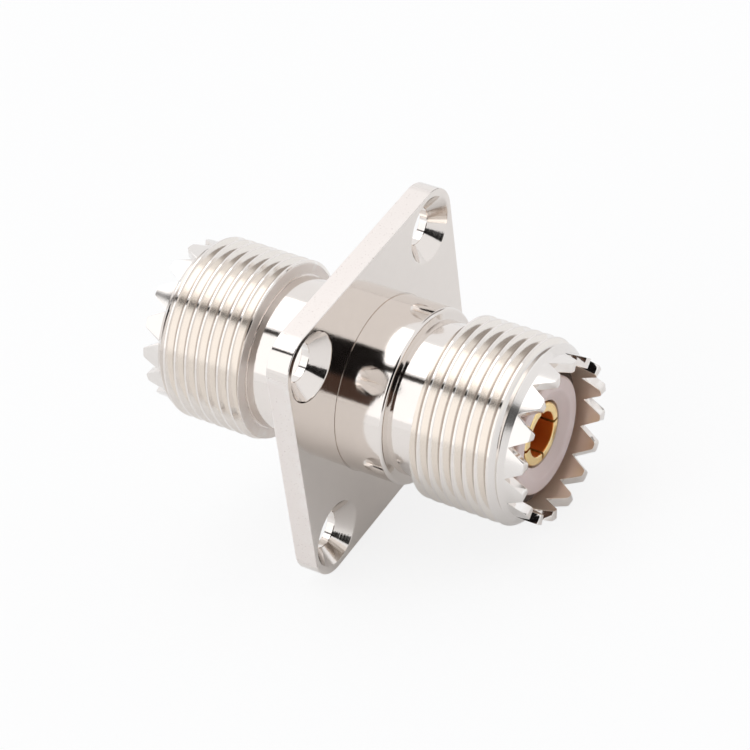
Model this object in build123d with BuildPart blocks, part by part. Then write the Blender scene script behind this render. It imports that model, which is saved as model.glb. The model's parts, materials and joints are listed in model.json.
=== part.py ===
from build123d import *
import math
import os

# Double-ended coaxial flange adapter. Millimetres.
# X is the axis of both barrels, with the front barrel at +X. The origin is on the
# axis at the flange's rear face, the flange's sides run along Y and Z, and Z is up.

# Flange
flange_side = 25.4
flange_thickness = 2.05
flange_corner_radius = 3.0
hole_radius = 1.65
countersink_radius = 2.95
countersink_angle = 90
countersink_land = 0.45

# Boss on the front of the flange
boss_step = 0.95
boss_length = 4.4
boss_edge_radius = 0.3

# Threaded barrels, drawn at the thread's crests, and the undercut necks behind them
thread_radius = 7.9
thread_start_chamfer = 0.1
undercut_depth = 1.25
front_neck_length = 2.7
front_thread_length = 7.35
rear_neck_length = 7.2
rear_thread_length = 7.65

# Rims in front of the threads
lead_in_length = 0.95
lead_in_height = 0.9
front_rim_length = 1.65
rear_rim_length = 1.5

# Teeth: V notches cut straight across both sides of each rim
tooth_count = 16
tooth_depth = 1.62
notch_angle = 60
front_notch_angle = 80.0
rear_notch_angle = 87.5

# Bore of the body
rim_wall = 0.85
rim_edge_chamfer = 0.15
neck_wall = 1.45
shoulder_depth = 8.1

# Insulators
nose_gap = 1.1
nose_edge_chamfer = 0.2
dish_radius = 3.85
dish_depth = 0.55
insulator_base_length = 1.0
insulator_recess = 1.6
insulator_clearance = 0.03

# Contact
socket_radius = 1.9
socket_wall = 0.82
socket_depth = 9.0
socket_mouth_chamfer = 0.1
contact_edge_chamfer = 0.15
contact_recess = 0.45
contact_spring_clearance = 0.18
contact_grip_clearance = 0.03
slot_width = 0.25
slot_depth = 7.5
slot_count = 4
slot_angle = 84.0
collar_height = 1.0
collar_length = 2.0
collar_clearance = 0.1

# Allowance for picking an edge by its size
tolerance = 1e-6

# Positions along the axis
boss_end_x = flange_thickness + boss_length
front_thread_start_x = boss_end_x + front_neck_length
front_lead_in_x = front_thread_start_x + front_thread_length
front_tip_x = front_lead_in_x + lead_in_length + front_rim_length
rear_thread_start_x = -rear_neck_length
rear_lead_in_x = rear_thread_start_x - rear_thread_length
rear_tip_x = rear_lead_in_x - lead_in_length - rear_rim_length
middle_x = flange_thickness / 2
front_shoulder_x = front_tip_x - shoulder_depth
rear_shoulder_x = rear_tip_x + shoulder_depth
front_insulator_x = front_tip_x - insulator_recess
rear_insulator_x = rear_tip_x + insulator_recess
front_contact_x = front_insulator_x - contact_recess
rear_contact_x = rear_insulator_x + contact_recess

# Radii and cuts that follow from the sizes above
hole_spacing = flange_side - 2 * (countersink_radius + countersink_land)
neck_radius = thread_radius - undercut_depth
boss_radius = neck_radius + boss_step
rim_radius = thread_radius - lead_in_height
mouth_radius = rim_radius - rim_wall
bore_radius = neck_radius - neck_wall
nose_radius = mouth_radius - nose_gap
contact_radius = socket_radius + socket_wall
collar_radius = contact_radius + collar_height
notch_cut_height = 2 * tooth_depth
notch_cut_half_width = notch_cut_height * math.tan(math.radians(notch_angle / 2))
cut_reach = flange_side


def across_plane(angle):
    # A sketch plane that holds the X axis and faces out at this angle about it.
    a = math.radians(angle)
    return Plane(origin=(0, 0, 0), x_dir=(1, 0, 0), z_dir=(0, math.cos(a), math.sin(a)))


os.makedirs("parts", exist_ok=True)

with BuildPart() as body:
    with BuildSketch(Plane.YZ):
        RectangleRounded(flange_side, flange_side, flange_corner_radius)
    extrude(amount=flange_thickness)
    with BuildSketch(Plane.XY):
        with BuildLine():
            Polyline(
                (rear_tip_x, 0),
                (rear_tip_x, rim_radius),
                (rear_lead_in_x - lead_in_length, rim_radius),
                (rear_lead_in_x, thread_radius),
                (rear_thread_start_x - thread_start_chamfer, thread_radius),
                (rear_thread_start_x, thread_radius - thread_start_chamfer),
                (rear_thread_start_x, neck_radius),
                (middle_x, neck_radius),
                (middle_x, boss_radius),
                (boss_end_x, boss_radius),
                (boss_end_x, neck_radius),
                (front_thread_start_x, neck_radius),
                (front_thread_start_x, thread_radius - thread_start_chamfer),
                (front_thread_start_x + thread_start_chamfer, thread_radius),
                (front_lead_in_x, thread_radius),
                (front_lead_in_x + lead_in_length, rim_radius),
                (front_tip_x, rim_radius),
                (front_tip_x, 0),
                close=True,
            )
        make_face()
    revolve(axis=Axis.X)

    boss_edge = [
        edge
        for edge in body.edges().filter_by(GeomType.CIRCLE)
        if abs(edge.radius - boss_radius) < tolerance and abs(edge.center().X - boss_end_x) < tolerance
    ]
    fillet(boss_edge, radius=boss_edge_radius)

    # The stepped bore runs right through.
    with BuildSketch(Plane.XY):
        with BuildLine():
            Polyline(
                (rear_tip_x, 0),
                (rear_tip_x, mouth_radius + rim_edge_chamfer),
                (rear_tip_x + rim_edge_chamfer, mouth_radius),
                (rear_shoulder_x, mouth_radius),
                (rear_shoulder_x, bore_radius),
                (front_shoulder_x, bore_radius),
                (front_shoulder_x, mouth_radius),
                (front_tip_x - rim_edge_chamfer, mouth_radius),
                (front_tip_x, mouth_radius + rim_edge_chamfer),
                (front_tip_x, 0),
                close=True,
            )
        make_face()
    revolve(axis=Axis.X, mode=Mode.SUBTRACT)

    # Each notch cut crosses the axis, so it makes two opposite notches.
    ends = ((front_tip_x, -1, front_notch_angle), (rear_tip_x, 1, rear_notch_angle))
    for tip_x, inward, first_angle in ends:
        for cut in range(tooth_count // 2):
            with BuildSketch(across_plane(first_angle + cut * 360 / tooth_count)):
                with BuildLine():
                    Polyline(
                        (tip_x + inward * tooth_depth, 0),
                        (tip_x + inward * (tooth_depth - notch_cut_height), notch_cut_half_width),
                        (tip_x + inward * (tooth_depth - notch_cut_height), -notch_cut_half_width),
                        close=True,
                    )
                make_face()
            extrude(amount=cut_reach, both=True, mode=Mode.SUBTRACT)

    with Locations(Plane.YZ.offset(flange_thickness)):
        with GridLocations(hole_spacing, hole_spacing, 2, 2):
            CounterSinkHole(
                radius=hole_radius,
                counter_sink_radius=countersink_radius,
                depth=flange_thickness,
                counter_sink_angle=countersink_angle,
            )

body.part.label = "body"
export_step(body.part, "parts/body.step")


def insulator_outline(face_x, shoulder_x, inward):
    # Points of one insulator's outer shape, from its middle end to its face.
    base_x = shoulder_x - inward * insulator_base_length
    base_radius = mouth_radius - insulator_clearance
    tail_radius = bore_radius - insulator_clearance
    return (
        (middle_x, 0),
        (middle_x, tail_radius),
        (shoulder_x, tail_radius),
        (shoulder_x, base_radius),
        (base_x, base_radius),
        (base_x, nose_radius),
        (face_x + inward * nose_edge_chamfer, nose_radius),
        (face_x, nose_radius - nose_edge_chamfer),
        (face_x, 0),
    )


def insulator_hole(face_x, contact_x, inward):
    # Points of the dish in the nose and of the stepped hole that holds the contact and half of its collar.
    grip_x = contact_x + inward * socket_depth
    spring_radius = contact_radius + contact_spring_clearance
    grip_radius = contact_radius + contact_grip_clearance
    pocket_x = middle_x - inward * collar_length / 2
    pocket_radius = collar_radius + collar_clearance
    return (
        (face_x, 0),
        (face_x, dish_radius),
        (face_x + inward * dish_depth, spring_radius),
        (grip_x, spring_radius),
        (grip_x, grip_radius),
        (pocket_x, grip_radius),
        (pocket_x, pocket_radius),
        (middle_x, pocket_radius),
        (middle_x, 0),
    )


with BuildPart() as front_insulator:
    with BuildSketch(Plane.XY):
        with BuildLine():
            Polyline(*insulator_outline(front_insulator_x, front_shoulder_x, -1), close=True)
        make_face()
    revolve(axis=Axis.X)
    with BuildSketch(Plane.XY):
        with BuildLine():
            Polyline(*insulator_hole(front_insulator_x, front_contact_x, -1), close=True)
        make_face()
    revolve(axis=Axis.X, mode=Mode.SUBTRACT)

front_insulator.part.label = "front_insulator"
export_step(front_insulator.part, "parts/front_insulator.step")

with BuildPart() as rear_insulator:
    with BuildSketch(Plane.XY):
        with BuildLine():
            Polyline(*insulator_outline(rear_insulator_x, rear_shoulder_x, 1), close=True)
        make_face()
    revolve(axis=Axis.X)
    with BuildSketch(Plane.XY):
        with BuildLine():
            Polyline(*insulator_hole(rear_insulator_x, rear_contact_x, 1), close=True)
        make_face()
    revolve(axis=Axis.X, mode=Mode.SUBTRACT)

rear_insulator.part.label = "rear_insulator"
export_step(rear_insulator.part, "parts/rear_insulator.step")

with BuildPart() as centre_contact:
    with BuildSketch(Plane.XY):
        with BuildLine():
            Polyline(
                (rear_contact_x, 0),
                (rear_contact_x, contact_radius - contact_edge_chamfer),
                (rear_contact_x + contact_edge_chamfer, contact_radius),
                (middle_x - collar_length / 2, contact_radius),
                (middle_x - collar_length / 2, collar_radius),
                (middle_x + collar_length / 2, collar_radius),
                (middle_x + collar_length / 2, contact_radius),
                (front_contact_x - contact_edge_chamfer, contact_radius),
                (front_contact_x, contact_radius - contact_edge_chamfer),
                (front_contact_x, 0),
                close=True,
            )
        make_face()
    revolve(axis=Axis.X)
    for face_x, inward in ((front_contact_x, -1), (rear_contact_x, 1)):
        with BuildSketch(Plane.XY):
            with BuildLine():
                Polyline(
                    (face_x, 0),
                    (face_x, socket_radius + socket_mouth_chamfer),
                    (face_x + inward * socket_mouth_chamfer, socket_radius),
                    (face_x + inward * socket_depth, socket_radius),
                    (face_x + inward * (socket_depth + socket_radius), 0),
                    close=True,
                )
            make_face()
        revolve(axis=Axis.X, mode=Mode.SUBTRACT)
        for cut in range(slot_count // 2):
            with BuildSketch(across_plane(slot_angle + cut * 360 / slot_count)):
                with Locations((face_x + inward * slot_depth / 2, 0)):
                    Rectangle(slot_depth, slot_width)
            extrude(amount=cut_reach, both=True, mode=Mode.SUBTRACT)

centre_contact.part.label = "centre_contact"
export_step(centre_contact.part, "parts/centre_contact.step")
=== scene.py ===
import json
import math

import bmesh
import bpy
from mathutils import Matrix, Vector


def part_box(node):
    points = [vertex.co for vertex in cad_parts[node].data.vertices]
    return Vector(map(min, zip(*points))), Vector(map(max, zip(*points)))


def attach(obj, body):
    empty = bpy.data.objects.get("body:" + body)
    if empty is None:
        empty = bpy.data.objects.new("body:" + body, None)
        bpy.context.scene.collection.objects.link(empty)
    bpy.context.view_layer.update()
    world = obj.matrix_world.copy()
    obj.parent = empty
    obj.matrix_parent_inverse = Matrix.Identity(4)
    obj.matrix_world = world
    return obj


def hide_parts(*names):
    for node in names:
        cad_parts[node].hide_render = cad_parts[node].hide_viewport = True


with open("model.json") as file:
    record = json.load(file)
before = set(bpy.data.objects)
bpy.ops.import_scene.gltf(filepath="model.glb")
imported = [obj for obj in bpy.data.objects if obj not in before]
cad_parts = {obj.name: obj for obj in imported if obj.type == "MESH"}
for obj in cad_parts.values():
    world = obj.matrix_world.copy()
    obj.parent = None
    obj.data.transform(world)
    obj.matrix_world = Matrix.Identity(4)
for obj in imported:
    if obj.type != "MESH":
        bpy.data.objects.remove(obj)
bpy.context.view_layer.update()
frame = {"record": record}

# Double-ended coaxial flange adapter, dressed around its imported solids.
# The frame is in metres; shapes here are drawn in millimetres and scaled once, when a mesh is made.
# Names with points, columns or rows say how fine a mesh is.
MM = 0.001

# Sizes read from the frame
mounts = {m["name"]: m for m in frame["record"]["mounts"]}
body_low, body_high = (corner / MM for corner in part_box("body"))
rear_tip_x = body_low.x
front_tip_x = body_high.x
flange_side = body_high.y - body_low.y
crest_radius = mounts["front_thread"]["dims"]["r_mm"]
hole_spacing = mounts["flange_holes"]["dims"]["spacing_x_mm"]
hole_radius = mounts["flange_holes"]["dims"]["hole_r_mm"]
socket_radius = mounts["front_socket"]["dims"]["r_mm"]

# Flange. Its rounded edges run over the break, through a middle point.
flange_thickness = 2.05
flange_corner_radius = 3.0
flange_edge_break = 0.06
flange_edge_middle = 0.3 * flange_edge_break
flange_edge_margin = 0.2
countersink_radius = 2.95
corner_points = 14
hole_points = 96
flange_core_radius = 6.0

# Boss, and the hairline seam round its foot
boss_radius = 7.6
boss_end_x = 6.45
boss_edge_radius = 0.3
seam_width = 0.05
seam_depth = 0.07
seam_edge_break = 0.03

# Necks, threads and rims. The crests' flat is a share of the pitch.
neck_radius = 6.65
pitch = 1.0583
thread_depth = 0.66
crest_flat = 1 / 6
thread_core_radius = 6.85
thread_start_chamfer = 0.1
front_thread_start_x = 9.15
front_lead_in_x = 16.5
rear_thread_start_x = -7.2
rear_lead_in_x = -14.85
lead_in_length = 0.95
rim_radius = 7.0
thread_columns = 200
thread_rows_per_turn = 12

# Where a crest passes on each barrel, at this angle about the axis
crest_angle = 125.0
front_crest_x = 9.89
rear_crest_x = -7.27

# Teeth
tooth_count = 16
tooth_depth = 1.62
tooth_corner_radius = 0.12
tooth_corner_steps = (0.12, 0.075, 0.035, 0.0)
notch_half_angle = 30.0
front_notch_angle = 80.0
rear_notch_angle = 87.5
columns_per_tooth = 12

# Small round bevel on the turned shell, where its faces meet at more than this angle
edge_break = 0.04
edge_break_angle = 36.0

# Bore of the body
mouth_radius = 6.15
bore_radius = 5.2
shoulder_depth = 8.1

# Insulators
middle_x = flange_thickness / 2
insulator_recess = 1.6
insulator_base_length = 1.0
insulator_clearance = 0.03
nose_radius = 5.05
nose_edge_radius = 0.3
dish_radius = 3.85
dish_depth = 0.55
dish_edge_width = 0.14
dish_edge_drops = (0.015, 0.09)
turned_columns = 192

# Contact
contact_radius = 2.72
contact_recess = 0.45
lip_inner_radius = 0.14
lip_outer_radius = 0.22
socket_depth = 9.0
spring_clearance = 0.18
grip_clearance = 0.03
collar_radius = 3.72
collar_length = 2.0
collar_clearance = 0.1
slot_width = 0.25
slot_depth = 7.5
slot_angles = (84.0, 174.0)


# Meshes

def polar(x, radius, angle):
    return Vector((x, radius * math.cos(angle), radius * math.sin(angle)))


def arc(centre_x, centre_radius, radius, start, end, steps):
    # Points of a round corner in an (x, radius) outline, from one angle to another.
    points = []
    for i in range(steps + 1):
        turn = math.radians(start + (end - start) * i / steps)
        points.append((centre_x + radius * math.cos(turn), centre_radius + radius * math.sin(turn)))
    return points


def mesh_from(bm, name, merge=1e-4):
    # Welds the shape, points its faces outwards and scales it to metres.
    bmesh.ops.remove_doubles(bm, verts=bm.verts, dist=merge)
    bmesh.ops.recalc_face_normals(bm, faces=bm.faces)
    bmesh.ops.scale(bm, vec=(MM, MM, MM), verts=bm.verts)
    mesh = bpy.data.meshes.new(name)
    bm.to_mesh(mesh)
    bm.free()
    return mesh


def new_object(name, mesh):
    thing = bpy.data.objects.new(name, mesh)
    bpy.context.scene.collection.objects.link(thing)
    return thing


def evaluated_mesh(thing):
    # The mesh that the object's modifiers make.
    depsgraph = bpy.context.evaluated_depsgraph_get()
    return bpy.data.meshes.new_from_object(thing.evaluated_get(depsgraph))


def smooth(mesh, sharp_angle):
    # Smooth shading, with edges steeper than this left sharp.
    mesh.polygons.foreach_set("use_smooth", [True] * len(mesh.polygons))
    mesh.set_sharp_from_angle(angle=math.radians(sharp_angle))
    return mesh


def broken_edges(mesh, name):
    # The mesh with its sharp edges broken by a small round bevel.
    blank = new_object(name, mesh)
    soften = blank.modifiers.new("edge_break", "BEVEL")
    soften.width = edge_break * MM
    soften.segments = 2
    soften.limit_method = "ANGLE"
    soften.angle_limit = math.radians(edge_break_angle)
    soften.use_clamp_overlap = True
    result = evaluated_mesh(blank)
    bpy.data.objects.remove(blank)
    return result


def notch_half_width(x, root_x, tip_x):
    # Half the notch's width at x: nothing below its root, then the V, and wider again where the
    # tooth's corners are round.
    outward = math.copysign(1, tip_x - root_x)
    width = max(0.0, (x - root_x) * outward) * math.tan(math.radians(notch_half_angle))
    from_tip = max(0.0, (tip_x - x) * outward)
    if from_tip < tooth_corner_radius and width > 0:
        drop = tooth_corner_radius - from_tip
        width += tooth_corner_radius - math.sqrt(tooth_corner_radius ** 2 - drop ** 2)
    return width


def tooth_cell(x, radius, half_width, first_angle, tooth):
    # One row of points across a tooth, from the notch on one side to the notch on the other.
    cell = math.tau / tooth_count
    side = math.asin(half_width / radius)
    start = math.radians(first_angle) + tooth * cell + side
    width = cell - 2 * side
    return [
        polar(x, radius, start + width * i / columns_per_tooth)
        for i in range(columns_per_tooth + 1)
    ]


def add_strip(bm, low, high):
    # Quads between two rows of points.
    low = [bm.verts.new(p) for p in low]
    high = [bm.verts.new(p) for p in high]
    for i in range(len(low) - 1):
        bm.faces.new((low[i], low[i + 1], high[i + 1], high[i]))


def add_wall(bm, rows, first_angle, root_x, tip_x):
    # A turned wall through (x, radius) rows, cut by the notches beyond root_x.
    for (x0, r0), (x1, r1) in zip(rows, rows[1:]):
        for tooth in range(tooth_count):
            low = tooth_cell(x0, r0, notch_half_width(x0, root_x, tip_x), first_angle, tooth)
            high = tooth_cell(x1, r1, notch_half_width(x1, root_x, tip_x), first_angle, tooth)
            add_strip(bm, low, high)


def add_toothed_rim(bm, base_x, tip_x, first_angle):
    # The rim of one mouth: outer wall, inner wall, tooth tips and the flanks of the V notches.
    # Its inner wall reaches down to the shoulder, whose x it gives back.
    outward = math.copysign(1, tip_x)
    root_x = tip_x - outward * tooth_depth
    cone_end_x = base_x + outward * lead_in_length
    levels = {tip_x - outward * step for step in tooth_corner_steps}
    levels |= {root_x, tip_x - outward * tooth_depth / 2}
    steps = sorted({base_x, cone_end_x} | levels, key=abs)

    def outer_radius(x):
        if abs(x) >= abs(cone_end_x):
            return rim_radius
        climb = rim_radius - thread_core_radius
        return thread_core_radius + climb * (x - base_x) / (cone_end_x - base_x)

    add_wall(bm, [(x, outer_radius(x)) for x in steps], first_angle, root_x, tip_x)
    shoulder_x = tip_x - outward * shoulder_depth
    flank_steps = [x for x in steps if abs(x) >= abs(root_x)]
    inner_steps = [shoulder_x] + flank_steps
    add_wall(bm, [(x, mouth_radius) for x in inner_steps], first_angle, root_x, tip_x)
    tip_width = notch_half_width(tip_x, root_x, tip_x)
    for tooth in range(tooth_count):
        outer = tooth_cell(tip_x, rim_radius, tip_width, first_angle, tooth)
        inner = tooth_cell(tip_x, mouth_radius, tip_width, first_angle, tooth)
        add_strip(bm, outer, inner)
        for end in (0, -1):
            outer_flank = []
            inner_flank = []
            for x in flank_steps:
                width = notch_half_width(x, root_x, tip_x)
                outer_flank.append(tooth_cell(x, outer_radius(x), width, first_angle, tooth)[end])
                inner_flank.append(tooth_cell(x, mouth_radius, width, first_angle, tooth)[end])
            add_strip(bm, outer_flank, inner_flank)
    return shoulder_x


def turned_shell():
    # Everything turned on the lathe but the threads: rims, necks, boss, steps and bore.
    bm = bmesh.new()
    front_shoulder = add_toothed_rim(bm, front_lead_in_x, front_tip_x, front_notch_angle)
    rear_shoulder = add_toothed_rim(bm, rear_lead_in_x, rear_tip_x, rear_notch_angle)
    edge = boss_edge_radius
    outside = [
        (rear_lead_in_x, thread_core_radius),
        (rear_thread_start_x, thread_core_radius),
        (rear_thread_start_x, neck_radius),
        (middle_x, neck_radius),
        (middle_x, boss_radius),
        (flange_thickness, boss_radius),
    ]
    outside += arc(boss_end_x - edge, boss_radius - edge, edge, 90, 0, 8)
    outside += [
        (boss_end_x, neck_radius),
        (front_thread_start_x, neck_radius),
        (front_thread_start_x, thread_core_radius),
        (front_lead_in_x, thread_core_radius),
    ]
    bore = [
        (rear_shoulder, mouth_radius),
        (rear_shoulder, bore_radius),
        (front_shoulder, bore_radius),
        (front_shoulder, mouth_radius),
    ]
    # No notch reaches these walls, so its root is put at the tip.
    for rows in (outside, bore):
        add_wall(bm, rows, front_notch_angle, root_x=front_tip_x, tip_x=front_tip_x)
    return mesh_from(bm, "turned_shell")


def rounded_square(x, inset):
    # The flange's outline at x, drawn in by inset.
    reach = flange_side / 2 - flange_corner_radius
    radius = flange_corner_radius - inset
    points = []
    for quarter, (side_y, side_z) in enumerate(((1, 1), (-1, 1), (-1, -1), (1, -1))):
        for i in range(corner_points + 1):
            turn = math.radians(90) * (quarter + i / corner_points)
            points.append(Vector((
                x,
                side_y * reach + radius * math.cos(turn),
                side_z * reach + radius * math.sin(turn),
            )))
    return points


def circle(x, radius, centre_y, centre_z):
    points = []
    for i in range(hole_points):
        turn = math.tau * i / hole_points
        y = centre_y + radius * math.cos(turn)
        z = centre_z + radius * math.sin(turn)
        points.append(Vector((x, y, z)))
    return points


def flange_plate():
    # The square plate with its four countersunk holes. Its middle is open: the turned shell fills it.
    # A ring of points lies a margin inside each edge, so that edge wear stays at the edges.
    bm = bmesh.new()
    brk = flange_edge_break
    middle = flange_edge_middle
    margin = flange_edge_margin
    front_x = flange_thickness
    sunk_x = front_x - (countersink_radius - hole_radius)
    loops = [[
        rounded_square(0, margin),
        rounded_square(0, brk),
        rounded_square(middle, middle),
        rounded_square(brk, 0),
        rounded_square(margin, 0),
        rounded_square(front_x - margin, 0),
        rounded_square(front_x - brk, 0),
        rounded_square(front_x - middle, middle),
        rounded_square(front_x, brk),
        rounded_square(front_x, margin),
    ]]
    half = hole_spacing / 2
    for y, z in ((half, half), (-half, half), (-half, -half), (half, -half)):
        loops.append([
            circle(0, hole_radius + margin, y, z),
            circle(0, hole_radius + brk, y, z),
            circle(brk, hole_radius, y, z),
            circle(sunk_x - brk / 2, hole_radius, y, z),
            circle(sunk_x + brk / 2, hole_radius + brk / 2, y, z),
            circle(front_x - brk, countersink_radius - brk, y, z),
            circle(front_x - brk / 3, countersink_radius, y, z),
            circle(front_x, countersink_radius + brk, y, z),
            circle(front_x, countersink_radius + margin, y, z),
        ])
    seam_radius = boss_radius + seam_width
    seam_floor_x = front_x - seam_depth
    loops.append([
        circle(0, flange_core_radius, 0, 0),
        circle(seam_floor_x, flange_core_radius, 0, 0),
        circle(seam_floor_x, seam_radius, 0, 0),
        circle(front_x - seam_edge_break, seam_radius, 0, 0),
        circle(front_x, seam_radius + seam_edge_break, 0, 0),
        circle(front_x, seam_radius + margin, 0, 0),
    ])
    caps = ([], [])
    for rings in loops:
        rows = [[bm.verts.new(p) for p in ring] for ring in rings]
        count = len(rows[0])
        for low, high in zip(rows, rows[1:]):
            for i in range(count):
                j = (i + 1) % count
                bm.faces.new((low[i], low[j], high[j], high[i]))
        for cap, row in zip(caps, (rows[0], rows[-1])):
            cap.extend(bm.edges.get((row[i], row[(i + 1) % count])) for i in range(count))
    for cap in caps:
        bmesh.ops.triangle_fill(bm, edges=cap, use_beauty=True, normal=(1, 0, 0))
    return mesh_from(bm, "flange_plate")


def turned_solid(outline, name, closed):
    # An (x, radius) outline turned about the X axis. An open one starts and ends on the axis.
    bm = bmesh.new()
    turns = [math.tau * i / turned_columns for i in range(turned_columns)]
    rings = []
    for x, radius in outline:
        rings.append([bm.verts.new(polar(x, radius, turn)) for turn in turns])
    pairs = list(zip(rings, rings[1:]))
    if closed:
        pairs.append((rings[-1], rings[0]))
    for low, high in pairs:
        for i in range(turned_columns):
            j = (i + 1) % turned_columns
            bm.faces.new((low[i], low[j], high[j], high[i]))
    return mesh_from(bm, name)


def insulator(tip_x, name):
    # One insulator: the tail in the bore, the base on the shoulder and the dished nose round
    # the contact.
    outward = math.copysign(1, tip_x)
    face = abs(tip_x) - insulator_recess
    shoulder = abs(tip_x) - shoulder_depth
    base = shoulder + insulator_base_length
    middle = outward * middle_x
    spring_radius = contact_radius + spring_clearance
    grip = face - contact_recess - socket_depth
    grip_radius = contact_radius + grip_clearance
    pocket = middle + collar_length / 2
    pocket_radius = collar_radius + collar_clearance
    tail_radius = bore_radius - insulator_clearance
    base_radius = mouth_radius - insulator_clearance
    edge = nose_edge_radius
    outline = [
        (middle, pocket_radius), (middle, tail_radius),
        (shoulder, tail_radius), (shoulder, base_radius),
        (base, base_radius), (base, nose_radius),
    ]
    outline += arc(face - edge, nose_radius - edge, edge, 90, 0, 10)
    outline += [
        (face, dish_radius + dish_edge_width),
        (face - dish_edge_drops[0], dish_radius),
        (face - dish_edge_drops[1], dish_radius - dish_edge_width),
        (face - dish_depth, spring_radius), (grip, spring_radius), (grip, grip_radius),
        (pocket, grip_radius), (pocket, pocket_radius),
    ]
    return turned_solid([(outward * x, radius) for x, radius in outline], name, closed=True)


def contact_outline():
    # From the bore's inner end, out over the lip and back to the collar, for both ends.
    halves = []
    inner = lip_inner_radius
    outer = lip_outer_radius
    for tip_x in (front_tip_x, rear_tip_x):
        outward = math.copysign(1, tip_x)
        face = abs(tip_x) - insulator_recess - contact_recess
        collar = outward * middle_x + collar_length / 2
        outline = [(face - socket_depth - socket_radius, 0), (face - socket_depth, socket_radius)]
        outline += arc(face - inner, socket_radius + inner, inner, -90, 0, 6)
        outline += arc(face - outer, contact_radius - outer, outer, 0, 90, 8)
        outline += [(collar, contact_radius), (collar, collar_radius)]
        halves.append([(outward * x, radius) for x, radius in outline])
    return halves[0] + halves[1][::-1]


def slot_cutter():
    # Two thin plates across the axis at each end, centred on the contact's face.
    bm = bmesh.new()
    for tip_x in (front_tip_x, rear_tip_x):
        face = tip_x - math.copysign(insulator_recess + contact_recess, tip_x)
        for angle in slot_angles:
            plate = bmesh.ops.create_cube(bm, size=1)
            size = Matrix.Diagonal((2 * slot_depth, 3 * contact_radius, slot_width, 1))
            turn = Matrix.Rotation(math.radians(angle), 4, "X")
            place = Matrix.Translation((face, 0, 0)) @ turn @ size
            bmesh.ops.transform(bm, matrix=place, verts=plate["verts"])
    return new_object("slot_cutter", mesh_from(bm, "slot_cutter"))


def contact():
    # The contact: a collar in the middle and a slotted socket with a rounded lip at each end.
    blank = new_object("contact_blank", turned_solid(contact_outline(), "contact_blank", closed=False))
    cutter = slot_cutter()
    slots = blank.modifiers.new("slots", "BOOLEAN")
    slots.object = cutter
    slots.operation = "DIFFERENCE"
    slots.solver = "EXACT"
    slots.use_self = True
    mesh = evaluated_mesh(blank)
    bpy.data.objects.remove(blank)
    bpy.data.objects.remove(cutter)
    mesh.name = "contact"
    return mesh


# Geometry Nodes

class NodeSheet:
    # Places nodes in a tree and links plain numbers or sockets to their inputs.
    def __init__(self, tree):
        self.tree = tree

    def feed(self, socket, value):
        if isinstance(value, bpy.types.NodeSocket):
            self.tree.links.new(value, socket)
        else:
            socket.default_value = value

    def add(self, kind, inputs=(), output=0, **settings):
        node = self.tree.nodes.new(kind)
        for key, value in settings.items():
            setattr(node, key, value)
        pairs = inputs.items() if isinstance(inputs, dict) else enumerate(inputs)
        for key, value in pairs:
            self.feed(node.inputs[key], value)
        return node.outputs[output]

    def math(self, operation, *inputs, clamp=False):
        return self.add("ShaderNodeMath", inputs, operation=operation, use_clamp=clamp)

    def split(self, vector):
        # The three parts of a vector.
        node = self.tree.nodes.new("ShaderNodeSeparateXYZ")
        self.feed(node.inputs[0], vector)
        return node.outputs

    def length(self, a, b):
        # Length of the vector that has these two parts.
        squares = self.math("ADD", self.math("MULTIPLY", a, a), self.math("MULTIPLY", b, b))
        return self.math("SQRT", squares)

    def fade(self, value, start, end):
        # 0 at start, 1 at end and smooth between; start may be the larger.
        return self.add("ShaderNodeMapRange", {
            "Value": value, "From Min": start, "From Max": end}, interpolation_type="SMOOTHSTEP")

    def band(self, value, low, high, soft):
        # 1 between low and high, fading to 0 over soft on each side.
        rise = self.fade(value, low - soft, low)
        fall = self.fade(value, high + soft, high)
        return self.math("MULTIPLY", rise, fall)


def geometry_tree(name, inputs):
    # A tree with named float inputs and one geometry output.
    tree = bpy.data.node_groups.new(name, "GeometryNodeTree")
    for label, value in inputs.items():
        kind = "NodeSocketInt" if isinstance(value, int) else "NodeSocketFloat"
        socket = tree.interface.new_socket(label, in_out="INPUT", socket_type=kind)
        socket.default_value = value
    tree.interface.new_socket("Geometry", in_out="OUTPUT", socket_type="NodeSocketGeometry")
    source = tree.nodes.new("NodeGroupInput")
    return tree, NodeSheet(tree), source.outputs


def run_tree(tree, values, name):
    # Runs the tree on an empty object with these input values and returns its mesh.
    host = new_object(name + "_host", bpy.data.meshes.new(name + "_host"))
    modifier = host.modifiers.new(name, "NODES")
    modifier.node_group = tree
    for item in tree.interface.items_tree:
        if item.item_type == "SOCKET" and item.in_out == "INPUT" and item.name in values:
            modifier[item.identifier] = values[item.name]
    mesh = evaluated_mesh(host)
    mesh.name = name
    bpy.data.objects.remove(host)
    return mesh


def rolled_grid(sheet, columns, rows):
    # A flat grid with its two positions as fractions across and along.
    grid = sheet.tree.nodes.new("GeometryNodeMeshGrid")
    grid.inputs["Size X"].default_value = 1
    grid.inputs["Size Y"].default_value = 1
    sheet.feed(grid.inputs["Vertices X"], sheet.math("ADD", columns, 1))
    sheet.feed(grid.inputs["Vertices Y"], sheet.math("ADD", rows, 1))
    place = sheet.split(sheet.add("GeometryNodeInputPosition"))
    around = sheet.math("ADD", place["X"], 0.5)
    along = sheet.math("ADD", place["Y"], 0.5)
    return grid.outputs["Mesh"], around, along


def wrap_round(sheet, mesh, x, radius, angle):
    # Moves each point to its place about the X axis and welds the seam.
    place = sheet.add("ShaderNodeCombineXYZ", [
        x,
        sheet.math("MULTIPLY", radius, sheet.math("COSINE", angle)),
        sheet.math("MULTIPLY", radius, sheet.math("SINE", angle)),
    ])
    moved = sheet.add("GeometryNodeSetPosition", {"Geometry": mesh, "Position": place})
    return sheet.add("GeometryNodeMergeByDistance", {"Geometry": moved, "Distance": 1e-3})


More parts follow.
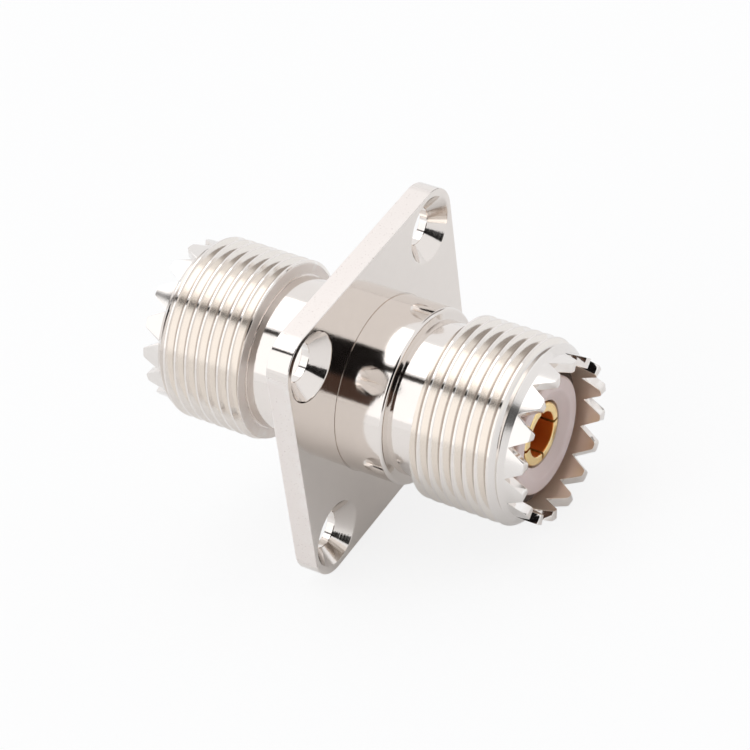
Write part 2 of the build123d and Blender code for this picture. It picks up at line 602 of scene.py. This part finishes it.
def thread_tree():
    # A thread as a sheet whose rows follow the helix: x grows outwards, and the crests are cut back by
    # the chamfer at the thread's start and by the lead-in cone at its end.
    tree, sheet, source = geometry_tree("screw_thread", {
        "Columns": thread_columns, "Rows Per Turn": thread_rows_per_turn, "Turns": 9,
        "Pitch": pitch, "Crest Radius": crest_radius, "Depth": thread_depth, "First Row": 0.0,
        "Start": 0.0, "Start Chamfer": thread_start_chamfer,
        "Lead In": 1.0, "Lead In Length": lead_in_length, "Lead In Drop": crest_radius - rim_radius,
    })
    rows = sheet.math("MULTIPLY", source["Rows Per Turn"], source["Turns"])
    mesh, around, along = rolled_grid(sheet, source["Columns"], rows)
    turns = sheet.math("MULTIPLY", along, source["Turns"])
    travel = sheet.math("MULTIPLY", source["Pitch"], sheet.math("ADD", turns, around))
    x = sheet.math("ADD", source["First Row"], travel)
    # Distance from the crest's middle, in turns: 0 at a crest and 0.5 at a root, which is sharp.
    from_crest = sheet.math("PINGPONG", sheet.math("ADD", turns, -0.5), 0.5)
    steepness = 1 / (0.5 - crest_flat / 2)
    height = sheet.math("MULTIPLY", sheet.math("SUBTRACT", 0.5, from_crest), steepness, clamp=True)
    root = sheet.math("SUBTRACT", source["Crest Radius"], source["Depth"])
    flank = sheet.math("ADD", root, sheet.math("MULTIPLY", height, source["Depth"]))
    start_radius = sheet.math("SUBTRACT", source["Crest Radius"], source["Start Chamfer"])
    start = sheet.math("ADD", start_radius, sheet.math("SUBTRACT", x, source["Start"]))
    slope = sheet.math("DIVIDE", source["Lead In Drop"], source["Lead In Length"])
    past = sheet.math("MULTIPLY", sheet.math("SUBTRACT", x, source["Lead In"]), slope)
    cone = sheet.math("SUBTRACT", source["Crest Radius"], past)
    radius = sheet.math("MINIMUM", flank, sheet.math("MINIMUM", start, cone))
    angle = sheet.math("MULTIPLY", around, math.tau)
    sink = tree.nodes.new("NodeGroupOutput").inputs
    sheet.feed(sink["Geometry"], wrap_round(sheet, mesh, x, radius, angle))
    return tree


def threaded_sleeve(tree, start_x, lead_in_x, crest_x, name):
    # Runs the thread outwards from the flange, then trims both ends flat and closes them.
    outward = math.copysign(1, start_x)
    start = abs(start_x)
    lead_in = abs(lead_in_x)
    end = lead_in + lead_in_length
    # Seen from its own flange side, the rear barrel is the front one turned half round about Z.
    angle = crest_angle if outward > 0 else 180.0 - crest_angle
    # The first row climbs one pitch in its turn, and lies wholly below the thread's start.
    first_row = abs(crest_x) - pitch * (angle / 360 + 0.5)
    while first_row > start - 1.5 * pitch:
        first_row -= pitch
    turns = math.ceil((end - first_row) / pitch) + 1
    mesh = run_tree(tree, {
        "Turns": turns, "First Row": first_row, "Start": start, "Lead In": lead_in,
    }, name)
    bm = bmesh.new()
    bm.from_mesh(mesh)
    for x, side in ((start, -1), (end, 1)):
        everything = bm.verts[:] + bm.edges[:] + bm.faces[:]
        cut = bmesh.ops.bisect_plane(
            bm, geom=everything, dist=1e-5, plane_co=(x, 0, 0), plane_no=(side, 0, 0), clear_outer=True)
        rim = [e for e in cut["geom_cut"] if isinstance(e, bmesh.types.BMEdge)]
        grown = bmesh.ops.extrude_edge_only(bm, edges=rim)
        for vert in (v for v in grown["geom"] if isinstance(v, bmesh.types.BMVert)):
            spread = math.hypot(vert.co.y, vert.co.z)
            vert.co.y *= thread_core_radius / spread
            vert.co.z *= thread_core_radius / spread
    if outward < 0:
        bmesh.ops.rotate(bm, cent=(0, 0, 0), matrix=Matrix.Rotation(math.pi, 3, "Z"), verts=bm.verts)
    return mesh_from(bm, name, merge=1e-3)


# Materials

# Nickel, gold, plastic and paper. Heights are those of the bumps, in metres.
nickel_colour = (0.84, 0.785, 0.74)
nickel_worn_colour = (0.92, 0.89, 0.86)
nickel_roughness = 0.09
nickel_heights = {"cloud": 1.0e-6, "pitting": 1.8e-6, "lines": 0.4e-6}
gold_colour = (1.0, 0.76, 0.37)
gold_worn_colour = (1.0, 0.84, 0.52)
gold_roughness = 0.24
gold_heights = {"cloud": 2.0e-6, "pitting": 1.0e-6, "lines": 1.0e-6}
plastic_colours = ((0.70, 0.575, 0.55), (0.77, 0.645, 0.62))
plastic_roughness = (0.34, 0.46)
plastic_height = 4e-6
paper_colours = ((0.92, 0.925, 0.93), (0.94, 0.945, 0.95))

# Cloud, speck and ring marks on the plated metal
cloud_shade = 0.96
cloud_roughness_spread = 0.1
speck_roughness = 0.05
countersink_rings = 9.0

# Duller stretches of the plated metal: colour, roughness and share of metal. Some of these colours are
# painted light and shade: a warm painted reflection in the mouth, lighter flanks, darker roots and a
# darker socket bore.
# Painted reflection: the mouth's inside is tinted a lighter warm brown for the warm light it reflects,
# over its satin finish.
mouth_painted_reflection_look = ((0.94, 0.785, 0.645), 0.30, 0.75)
step_look = ((0.86, 0.80, 0.76), 0.45, 0.7)
# Painted light: the thread flanks are tinted lighter than the plain plating, lifting the dimmer light
# that reaches them between the threads.
flank_painted_light_look = ((0.89, 0.84, 0.785), 0.16, 1.0)
# Painted shade: the thread roots are tinted darker, as shade in the grooves.
root_painted_shade_look = ((0.72, 0.66, 0.61), 0.22, 1.0)
rim_look = ((0.82, 0.78, 0.745), 0.17, 1.0)
side_look = ((0.85, 0.79, 0.75), 0.38, 0.9)
side_speck_look = ((0.56, 0.48, 0.44), 0.45, 1.0)
# Painted shade: the socket's bore is tinted a deep reddish brown, as shade deep in the gold bore.
socket_painted_shade_look = ((0.84, 0.27, 0.045), 0.3, 0.6)
zone_soft = 0.05


def shader_group(name, inputs, outputs):
    # A tree with named inputs and named float outputs.
    tree = bpy.data.node_groups.new(name, "ShaderNodeTree")
    for label, value in inputs.items():
        kind = "NodeSocketVector" if isinstance(value, tuple) else "NodeSocketFloat"
        socket = tree.interface.new_socket(label, in_out="INPUT", socket_type=kind)
        socket.default_value = value
    for label in outputs:
        tree.interface.new_socket(label, in_out="OUTPUT", socket_type="NodeSocketFloat")
    source = tree.nodes.new("NodeGroupInput").outputs
    sink = tree.nodes.new("NodeGroupOutput").inputs
    return tree, NodeSheet(tree), source, sink


def grain_group():
    # Uneven grain: a soft cloud, sharp specks and fine pitting.
    tree, sheet, source, sink = shader_group(
        "metal_grain", {"Vector": (0, 0, 0), "Scale": 1000.0}, ("Cloud", "Speck", "Pitting"))
    cloud = sheet.add("ShaderNodeTexNoise", {
        "Vector": source["Vector"], "Scale": source["Scale"], "Detail": 4.0, "Roughness": 0.6})
    fine_scale = sheet.math("MULTIPLY", source["Scale"], 7.0)
    fine = sheet.add("ShaderNodeTexNoise", {
        "Vector": source["Vector"], "Scale": fine_scale, "Detail": 2.0})
    sheet.feed(sink["Cloud"], cloud)
    sheet.feed(sink["Speck"], sheet.fade(fine, 0.635, 0.74))
    sheet.feed(sink["Pitting"], fine)
    return tree


def turning_group():
    # Lines left by turning: noise that changes along X and hardly around it.
    tree, sheet, source, sink = shader_group(
        "turning_lines",
        {"Vector": (0, 0, 0), "Lines Per Metre": 9000.0, "Waves Per Metre": 60.0}, ("Lines",))
    x, y, z = sheet.split(source["Vector"])
    stretched = sheet.add("ShaderNodeCombineXYZ", [
        sheet.math("MULTIPLY", x, source["Lines Per Metre"]),
        sheet.math("MULTIPLY", y, source["Waves Per Metre"]),
        sheet.math("MULTIPLY", z, source["Waves Per Metre"]),
    ])
    lines = sheet.add("ShaderNodeTexNoise", {"Vector": stretched, "Scale": 1.0, "Detail": 3.0})
    sheet.feed(sink["Lines"], lines)
    return tree


def wear_group():
    # Edges rubbed a little brighter, broken up by noise.
    tree, sheet, source, sink = shader_group(
        "edge_wear", {"Vector": (0, 0, 0), "Pointiness": 0.5, "Amount": 1.0}, ("Wear",))
    edge = sheet.add("ShaderNodeMapRange", {
        "Value": source["Pointiness"], "From Min": 0.52, "From Max": 0.6})
    patches = sheet.add("ShaderNodeTexNoise", {
        "Vector": source["Vector"], "Scale": 900.0, "Detail": 3.0})
    broken = sheet.math("MULTIPLY", edge, sheet.fade(patches, 0.35, 0.65))
    sheet.feed(sink["Wear"], sheet.math("MULTIPLY", broken, source["Amount"]))
    return tree


def new_material(name):
    material = bpy.data.materials.new(name)
    material.use_nodes = True
    tree = material.node_tree
    shader = tree.nodes["Principled BSDF"]
    coords = tree.nodes.new("ShaderNodeTexCoord").outputs["Object"]
    return material, NodeSheet(tree), shader, coords


def place_group(sheet, group, inputs):
    node = sheet.tree.nodes.new("ShaderNodeGroup")
    node.node_tree = group
    for key, value in inputs.items():
        sheet.feed(node.inputs[key], value)
    return node.outputs


def blend_colours(sheet, mask, plain, marked):
    mix = sheet.tree.nodes.new("ShaderNodeMix")
    mix.data_type = "RGBA"
    sheet.feed(mix.inputs["Factor"], mask)
    for socket, colour in (("A", plain), ("B", marked)):
        rgba = (*colour, 1) if isinstance(colour, tuple) else colour
        slot = next(s for s in mix.inputs if s.name == socket and s.type == "RGBA")
        sheet.feed(slot, rgba)
    return next(s for s in mix.outputs if s.type == "RGBA")


def blend_values(sheet, mask, plain, marked):
    # plain where the mask is 0, marked where it is 1.
    change = sheet.math("MULTIPLY", mask, sheet.math("SUBTRACT", marked, plain))
    return sheet.math("ADD", plain, change)


def mm_fade(sheet, value, start, end):
    # A fade with its ends in millimetres.
    return sheet.fade(value, start * MM, end * MM)


def mm_band(sheet, value, low, high):
    # A band with its ends in millimetres.
    return sheet.band(value, low * MM, high * MM, zone_soft * MM)


def nickel_zones(sheet, coords, speck):
    # Masks of the body's duller stretches, each with its look. The mouth, flank and root looks hold
    # painted reflection, light and shade.
    x, y, z = sheet.split(coords)
    radius = sheet.length(y, z)
    inside = mm_fade(sheet, radius, mouth_radius + 0.06, mouth_radius + 0.02)
    at_step = mm_band(sheet, x, rear_thread_start_x - 0.02, rear_thread_start_x + 0.02)
    past_neck = mm_fade(sheet, radius, neck_radius + 0.05, neck_radius + 0.15)
    front_turns = mm_band(sheet, x, front_thread_start_x, front_lead_in_x)
    rear_turns = mm_band(sheet, x, rear_lead_in_x, rear_thread_start_x - 0.12)
    turns = sheet.math("ADD", front_turns, rear_turns)
    below_crest = mm_band(sheet, radius, thread_core_radius, crest_radius - 0.07)
    root_radius = crest_radius - thread_depth
    near_root = mm_fade(sheet, radius, root_radius + 0.13, root_radius + 0.04)
    past_front = mm_fade(sheet, x, front_lead_in_x - 0.1, front_lead_in_x)
    past_rear = mm_fade(sheet, x, rear_lead_in_x + 0.1, rear_lead_in_x)
    past_turns = sheet.math("ADD", past_front, past_rear)
    below_rim = mm_fade(sheet, radius, rim_radius - 0.08, rim_radius - 0.04)
    reach = sheet.math("MAXIMUM", sheet.math("ABSOLUTE", y), sheet.math("ABSOLUTE", z))
    sides = mm_fade(sheet, reach, flange_side / 2 - 0.08, flange_side / 2 - 0.03)
    return (
        # The mouth's warm tint is a painted reflection.
        (inside, mouth_painted_reflection_look),
        (sheet.math("MULTIPLY", at_step, past_neck), step_look),
        # The flanks' lighter tint is painted light.
        (sheet.math("MULTIPLY", below_crest, turns), flank_painted_light_look),
        # The roots' darker tint is painted shade.
        (sheet.math("MULTIPLY", turns, near_root), root_painted_shade_look),
        (sheet.math("MULTIPLY", past_turns, below_rim), rim_look),
        (sides, side_look),
        (sheet.math("MULTIPLY", sides, speck), side_speck_look),
    )


def nickel_marks(sheet, coords):
    # How strong the turning lines are, more in the countersinks where the cutter's rings show,
    # and how much edge wear there is, none on the flange's flat faces.
    x, y, z = sheet.split(coords)
    across = sheet.math("SUBTRACT", sheet.math("ABSOLUTE", y), hole_spacing / 2 * MM)
    up = sheet.math("SUBTRACT", sheet.math("ABSOLUTE", z), hole_spacing / 2 * MM)
    from_hole = sheet.length(across, up)
    sunk = mm_fade(sheet, from_hole, countersink_radius, countersink_radius - 0.1)
    rings = sheet.math("ADD", 1.0, sheet.math("MULTIPLY", sunk, countersink_rings))
    from_middle = sheet.math("ABSOLUTE", sheet.math("SUBTRACT", x, middle_x * MM))
    from_face = sheet.math("ABSOLUTE", sheet.math("SUBTRACT", from_middle, middle_x * MM))
    return rings, mm_fade(sheet, from_face, 0.005, 0.02)


def gold_zones(sheet, coords, speck):
    # The socket's bore is tinted a deep reddish brown, painted shade deep in the gold.
    x, y, z = sheet.split(coords)
    bore = mm_fade(sheet, sheet.length(y, z), socket_radius + 0.06, socket_radius + 0.02)
    return ((bore, socket_painted_shade_look),)


def plated_metal(name, colour, worn_colour, roughness, heights, zones, marks=None):
    # Bright plating over turned metal: cloudy tint, fine pits, turning lines, rubbed edges and
    # dull zones, some of them with painted light and shade in their colour.
    material, sheet, shader, coords = new_material(name)
    speckle = place_group(sheet, metal_grain, {"Vector": coords, "Scale": 900.0})
    turning = place_group(sheet, turning_lines, {"Vector": coords})
    pointiness = sheet.add("ShaderNodeNewGeometry", output="Pointiness")
    ring_strength, wear_amount = marks(sheet, coords) if marks else (1.0, 1.0)
    rubbed = place_group(sheet, edge_wear, {
        "Vector": coords, "Pointiness": pointiness, "Amount": wear_amount})
    dull = tuple(c * cloud_shade for c in colour)
    tint = blend_colours(sheet, speckle["Cloud"], dull, colour)
    rough = sheet.add("ShaderNodeMapRange", {
        "Value": speckle["Cloud"],
        "To Min": roughness * (1 - cloud_roughness_spread),
        "To Max": roughness * (1 + cloud_roughness_spread),
    })
    metal = 1.0
    for mask, look in zones(sheet, coords, speckle["Speck"]):
        zone_colour, zone_roughness, zone_metal = look
        tint = blend_colours(sheet, mask, tint, zone_colour)
        rough = blend_values(sheet, mask, rough, zone_roughness)
        if zone_metal < 1:
            metal = blend_values(sheet, mask, metal, zone_metal)
    rougher = sheet.math("MULTIPLY", speckle["Speck"], speck_roughness)
    sheet.feed(shader.inputs["Base Color"], blend_colours(sheet, rubbed["Wear"], tint, worn_colour))
    sheet.feed(shader.inputs["Metallic"], metal)
    sheet.feed(shader.inputs["Roughness"], sheet.math("ADD", rough, rougher))
    lines = sheet.math("MULTIPLY", turning["Lines"], ring_strength)
    height = sheet.math("MULTIPLY", speckle["Cloud"], heights["cloud"])
    for layer, amount in ((speckle["Pitting"], heights["pitting"]), (lines, heights["lines"])):
        height = sheet.math("ADD", height, sheet.math("MULTIPLY", layer, amount))
    bump = sheet.add("ShaderNodeBump", {"Strength": 1.0, "Distance": 1.0, "Height": height})
    sheet.feed(shader.inputs["Normal"], bump)
    return material


def pale_plastic():
    # Milky plastic with a faint pink cast and light scattered inside it.
    material, sheet, shader, coords = new_material("milky_plastic")
    speckle = place_group(sheet, metal_grain, {"Vector": coords, "Scale": 400.0})
    tint = blend_colours(sheet, speckle["Cloud"], *plastic_colours)
    sheet.feed(shader.inputs["Base Color"], tint)
    smoothest, roughest = plastic_roughness
    rough = sheet.add("ShaderNodeMapRange", {
        "Value": speckle["Cloud"], "To Min": smoothest, "To Max": roughest})
    sheet.feed(shader.inputs["Roughness"], rough)
    height = sheet.math("MULTIPLY", speckle["Cloud"], plastic_height)
    bump = sheet.add("ShaderNodeBump", {"Strength": 1.0, "Distance": 1.0, "Height": height})
    sheet.feed(shader.inputs["Normal"], bump)
    shader.inputs["Subsurface Weight"].default_value = 0.3
    shader.inputs["Subsurface Radius"].default_value = (1.0, 0.8, 0.7)
    shader.inputs["Subsurface Scale"].default_value = 0.0012
    return material


# Studio

# Camera, from the flange and barrel edges measured in the photograph
camera_azimuth = math.radians(36.318)
camera_elevation = math.radians(41.542)
camera_roll = math.radians(-7.770)
camera_distance = 259.767
camera_shift_right = -1.026
camera_shift_up = -0.016
camera_lens = 150.2

# The part leans on its flange's lower edge and its front thread. The floor's size is in metres.
# It glows a little for the camera and for polished metal, as bright paper does.
thread_touch_x = 16.7
floor_touch = (
    Vector((flange_thickness, 0, -flange_side / 2)),
    Vector((thread_touch_x, 0, -crest_radius)),
)
floor_size = 4.0
floor_camera_glow = 0.84
floor_glossy_glow = 0.2

# The room, as the polished metal finds it. Each stretch has its turns about the X axis in degrees
# and its shares along it, both as low end, high end and softness.
room_colour = (0.97, 0.98, 1.0)
far_side = ((0, 36, 12), (-0.16, 0.22, 0.08))
far_side_colour = (0.36, 0.34, 0.33)
beside_gap = ((103, 112, 5), (-0.38, -0.1, 0.05))
beside_gap_colour = (0.30, 0.28, 0.27)
lamp_gap = ((112.2, 117.8, 1.6), (-0.85, 0.1, 0.05))
lamp_gap_colour = (0.02, 0.017, 0.015)
camera_corner = ((96, 166, 2), (0.12, 0.9, 0.04))
camera_corner_colours = ((0.006, 0.005, 0.005), (0.075, 0.045, 0.034))
camera_corner_change = (138, 146)

# Lamps: place in metres, side in metres and watts
key_light = ((-0.45, 0.12, 0.87), 0.85, 1.75)
fill_light = ((-0.45, -0.76, 0.46), 0.95, 0.9)


def add_camera():
    az, el, roll = camera_azimuth, camera_elevation, camera_roll
    back = Vector((math.sin(az) * math.cos(el), -math.cos(az) * math.cos(el), math.sin(el)))
    level_right = Vector((math.cos(az), math.sin(az), 0))
    level_up = back.cross(level_right)
    right = math.cos(roll) * level_right + math.sin(roll) * level_up
    up = math.cos(roll) * level_up - math.sin(roll) * level_right
    data = bpy.data.cameras.new("camera")
    data.sensor_width = 36.0
    data.lens = camera_lens
    camera = bpy.data.objects.new("camera", data)
    place = (back * camera_distance - right * camera_shift_right - up * camera_shift_up) * MM
    turn = Matrix((right, up, back)).transposed().to_4x4()
    camera.matrix_world = Matrix.Translation(place) @ turn
    data.clip_start = 0.01
    data.clip_end = 20.0
    bpy.context.scene.collection.objects.link(camera)
    bpy.context.scene.camera = camera


def add_floor():
    # A pale floor under the leaning part. It can't be seen from below.
    along = (floor_touch[1] - floor_touch[0]).normalized()
    normal = along.cross(Vector((0, 1, 0))).normalized()
    if normal.z < 0:
        normal.negate()
    centre = floor_touch[0] * MM
    half = floor_size / 2
    sides = ((-1, -1), (1, -1), (1, 1), (-1, 1))
    corners = [centre + along * a * half + Vector((0, b * half, 0)) for a, b in sides]
    mesh = bpy.data.meshes.new("floor")
    mesh.from_pydata(corners, [], [(0, 1, 2, 3)])
    mesh.update()
    if mesh.polygons[0].normal.dot(normal) < 0:
        mesh.flip_normals()
    floor = new_object("floor", mesh)
    material = bpy.data.materials.new("floor_paper")
    material.use_nodes = True
    sheet = NodeSheet(material.node_tree)
    nodes = material.node_tree.nodes
    nodes.clear()
    coords = sheet.add("ShaderNodeTexCoord", output="Object")
    path = nodes.new("ShaderNodeLightPath").outputs
    cloud = sheet.add("ShaderNodeTexNoise", {"Vector": coords, "Scale": 30.0})
    tint = blend_colours(sheet, cloud, *paper_colours)
    paper = sheet.add("ShaderNodeBsdfDiffuse", {"Color": tint})
    glow = sheet.add("ShaderNodeEmission", {"Color": (1, 1, 1, 1), "Strength": 1.0})
    seen = sheet.math("MULTIPLY", path["Is Camera Ray"], floor_camera_glow)
    mirrored = sheet.math("MULTIPLY", path["Is Glossy Ray"], floor_glossy_glow)
    lit = sheet.add("ShaderNodeMixShader", [sheet.math("ADD", seen, mirrored), paper, glow])
    clear = sheet.add("ShaderNodeBsdfTransparent")
    below = sheet.add("ShaderNodeNewGeometry", output="Backfacing")
    surface = sheet.add("ShaderNodeMixShader", [below, lit, clear])
    output = nodes.new("ShaderNodeOutputMaterial")
    sheet.feed(output.inputs["Surface"], surface)
    mesh.materials.append(material)


def stretch_mask(sheet, turn, x, stretch):
    # 1 in one stretch of the room, fading to 0 at its edges.
    turns, shares = stretch
    low, high, soft = (math.radians(angle) for angle in turns)
    return sheet.math("MULTIPLY", sheet.band(turn, low, high, soft), sheet.band(x, *shares))


def add_world():
    # A white room. Polished metal also finds the dark camera corner, the dark gap between
    # the two lamps with a dimmer stretch beside it, and a dimmer far side.
    world = bpy.data.worlds.new("studio")
    bpy.context.scene.world = world
    world.use_nodes = True
    sheet = NodeSheet(world.node_tree)
    nodes = world.node_tree.nodes
    nodes.clear()
    x, y, z = sheet.split(sheet.add("ShaderNodeTexCoord", output="Generated"))
    turn = sheet.math("ARCTAN2", z, y)
    change = sheet.fade(turn, *(math.radians(angle) for angle in camera_corner_change))
    corner_colour = blend_colours(sheet, change, *camera_corner_colours)
    room = room_colour
    for stretch, colour in (
        (far_side, far_side_colour),
        (beside_gap, beside_gap_colour),
        (camera_corner, corner_colour),
        (lamp_gap, lamp_gap_colour),
    ):
        room = blend_colours(sheet, stretch_mask(sheet, turn, x, stretch), room, colour)
    path = nodes.new("ShaderNodeLightPath").outputs
    around = sheet.add("ShaderNodeBackground", {"Color": room, "Strength": 1.0})
    backdrop = sheet.add("ShaderNodeBackground", {"Color": (1, 1, 1, 1), "Strength": 1.0})
    background = sheet.add("ShaderNodeMixShader", [path["Is Camera Ray"], around, backdrop])
    output = nodes.new("ShaderNodeOutputWorld")
    sheet.feed(output.inputs["Surface"], background)


def add_softbox(name, place, size, watts):
    data = bpy.data.lights.new(name, "AREA")
    data.shape = "SQUARE"
    data.size = size
    data.energy = watts
    lamp = bpy.data.objects.new(name, data)
    lamp.location = place
    lamp.rotation_euler = (-Vector(place)).to_track_quat("-Z", "Y").to_euler()
    bpy.context.scene.collection.objects.link(lamp)


# The object

metal_grain = grain_group()
turning_lines = turning_group()
edge_wear = wear_group()

nickel = plated_metal(
    "bright_nickel", nickel_colour, nickel_worn_colour, nickel_roughness, nickel_heights,
    nickel_zones, nickel_marks)
gold = plated_metal(
    "gold_plate", gold_colour, gold_worn_colour, gold_roughness, gold_heights, gold_zones)
plastic = pale_plastic()

thread = thread_tree()
front_thread = threaded_sleeve(
    thread, front_thread_start_x, front_lead_in_x, front_crest_x, "front_threads")
rear_thread = threaded_sleeve(
    thread, rear_thread_start_x, rear_lead_in_x, rear_crest_x, "rear_threads")
body_parts = (
    smooth(broken_edges(turned_shell(), "shell_blank"), sharp_angle=35),
    smooth(flange_plate(), sharp_angle=10),
    smooth(front_thread, sharp_angle=32),
    smooth(rear_thread, sharp_angle=32),
)
joined = bmesh.new()
for part in body_parts:
    joined.from_mesh(part)
body_mesh = bpy.data.meshes.new("body_shell")
joined.to_mesh(body_mesh)
joined.free()

front_nose = smooth(insulator(front_tip_x, "front_nose"), sharp_angle=40)
rear_nose = smooth(insulator(rear_tip_x, "rear_nose"), sharp_angle=40)
contact_sleeve = smooth(contact(), sharp_angle=30)

# Each piece's name, mesh and material, the node that it replaces and its slot
pieces = (
    ("body_shell", body_mesh, nickel, "body", "body"),
    ("front_nose", front_nose, plastic, "front_insulator", "insulator"),
    ("rear_nose", rear_nose, plastic, "rear_insulator", "insulator"),
    ("contact_sleeve", contact_sleeve, gold, "centre_contact", "contact"),
)
for name, mesh, material, node, slot in pieces:
    mesh.materials.clear()
    mesh.materials.append(material)
    piece = new_object(name, mesh)
    weigh = piece.modifiers.new("even_shading", "WEIGHTED_NORMAL")
    weigh.keep_sharp = True
    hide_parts(node)
    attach(piece, "root")

add_camera()
add_floor()
add_world()
add_softbox("key_light", *key_light)
add_softbox("fill_light", *fill_light)
bpy.context.scene.view_settings.view_transform = "Standard"
